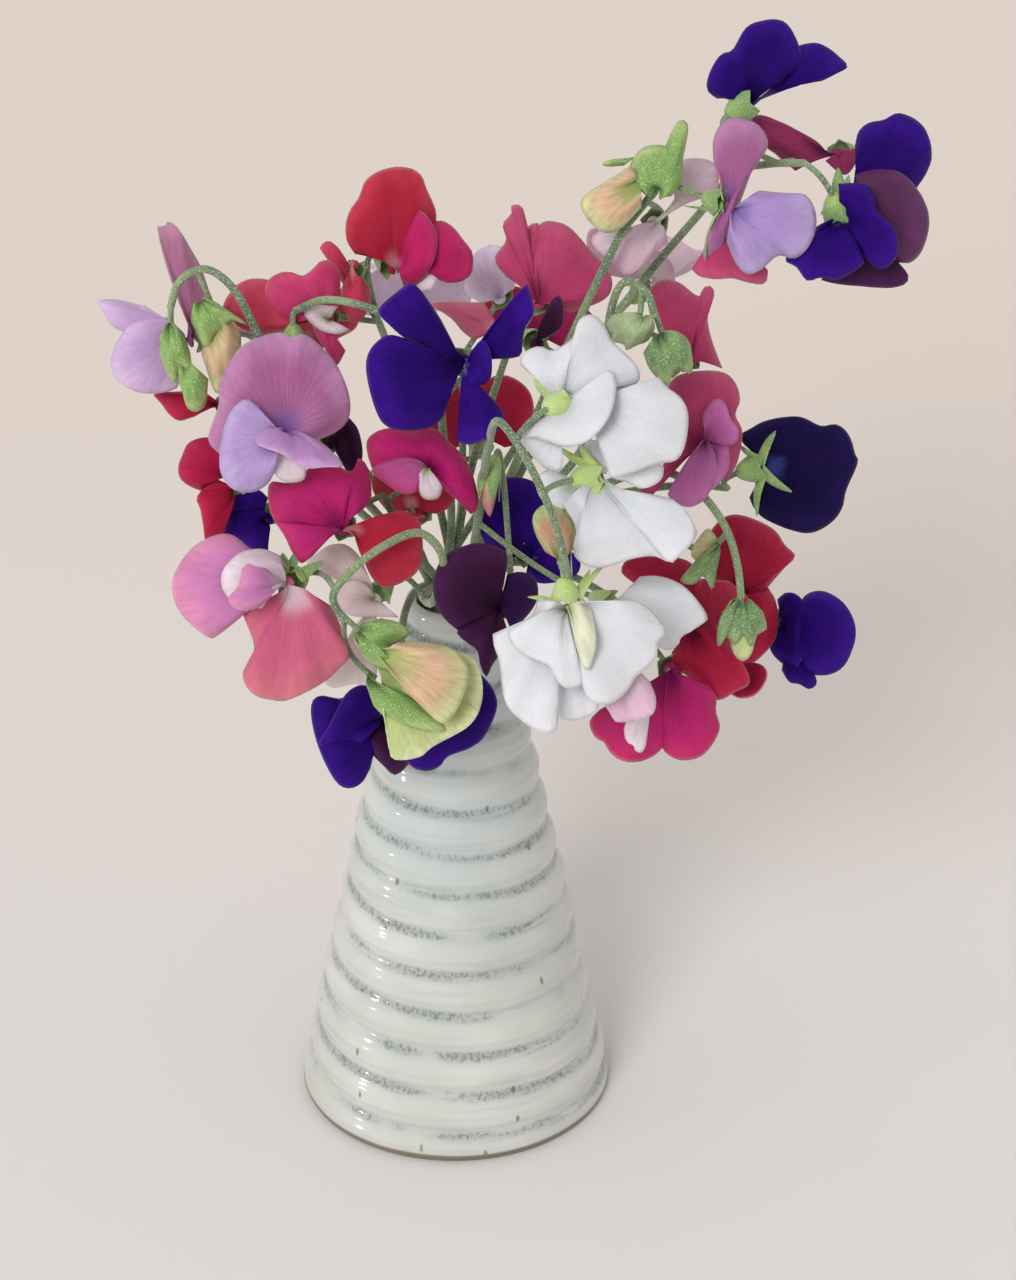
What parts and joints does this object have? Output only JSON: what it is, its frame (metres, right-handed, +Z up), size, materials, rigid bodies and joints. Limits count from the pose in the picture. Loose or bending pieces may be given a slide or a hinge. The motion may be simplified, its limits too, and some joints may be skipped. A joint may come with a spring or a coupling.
{
  "type": "sweet pea bouquet in a vase",
  "caption": "Loose bouquet of sweet pea blooms, buds and stems in many colours, standing in a tapered, ribbed and glazed stoneware vase with water.",
  "frame": {"origin": "centre of the vase's flat underside", "axes": "+Z up the vase's axis, +X to the right of a viewer in front, the front of the bouquet faces -Y"},
  "size_m": [0.2305, 0.1724, 0.3415],
  "materials": {
    "glaze": "glossy, speckled, blue-grey in the grooves",
    "water": "clear",
    "green": "matt, finely hairy",
    "blush": "satin petal",
    "coral": "satin petal",
    "crimson": "satin petal",
    "indigo": "satin petal",
    "lavender": "satin petal",
    "magenta": "satin petal",
    "mauve": "satin petal",
    "pink": "satin petal",
    "plum": "satin petal",
    "raspberry": "satin petal",
    "red": "satin petal",
    "white": "satin petal"
  },
  "bodies": {
    "root": {"vase": "glaze", "water": "water", "mauve_front": "mauve", "lilac_left": "mauve", "crimson_left_a": "crimson", "crimson_left_b": "crimson", "indigo_left": "indigo", "plum_left": "plum", "magenta_left": "magenta", "pink_bicolor": "pink", "blush_low": "blush", "indigo_low_left": "indigo", "indigo_scallop": "indigo", "plum_centre": "plum", "indigo_mid": "indigo", "red_top": "red", "coral_top": "coral", "coral_bud": "coral", "indigo_centre": "indigo", "plum_mid": "plum", "pink_mid": "pink", "lavender_back": "lavender", "raspberry_top": "raspberry", "raspberry_right_a": "raspberry", "raspberry_right_b": "raspberry", "blush_top": "blush", "mauve_top_right": "mauve", "indigo_top": "indigo", "plum_top": "plum", "indigo_right": "indigo", "white_top": "white", "white_mid": "white", "white_low": "white", "white_side": "white", "navy_right": "indigo", "crimson_right_a": "crimson", "crimson_right_b": "crimson", "crimson_low": "crimson", "indigo_far_right": "indigo", "magenta_low_right": "magenta", "magenta_centre": "magenta", "red_centre": "red", "coral_back": "coral", "lavender_behind": "lavender", "magenta_back": "magenta", "blush_back": "blush", "crimson_back": "crimson", "stems_top": "green", "stems_right": "green", "stems_right_top": "green", "stems_back": "green", "stems_left": "green", "stems_front_left": "green", "stems_front": "green"}
  },
  "joints": []
}
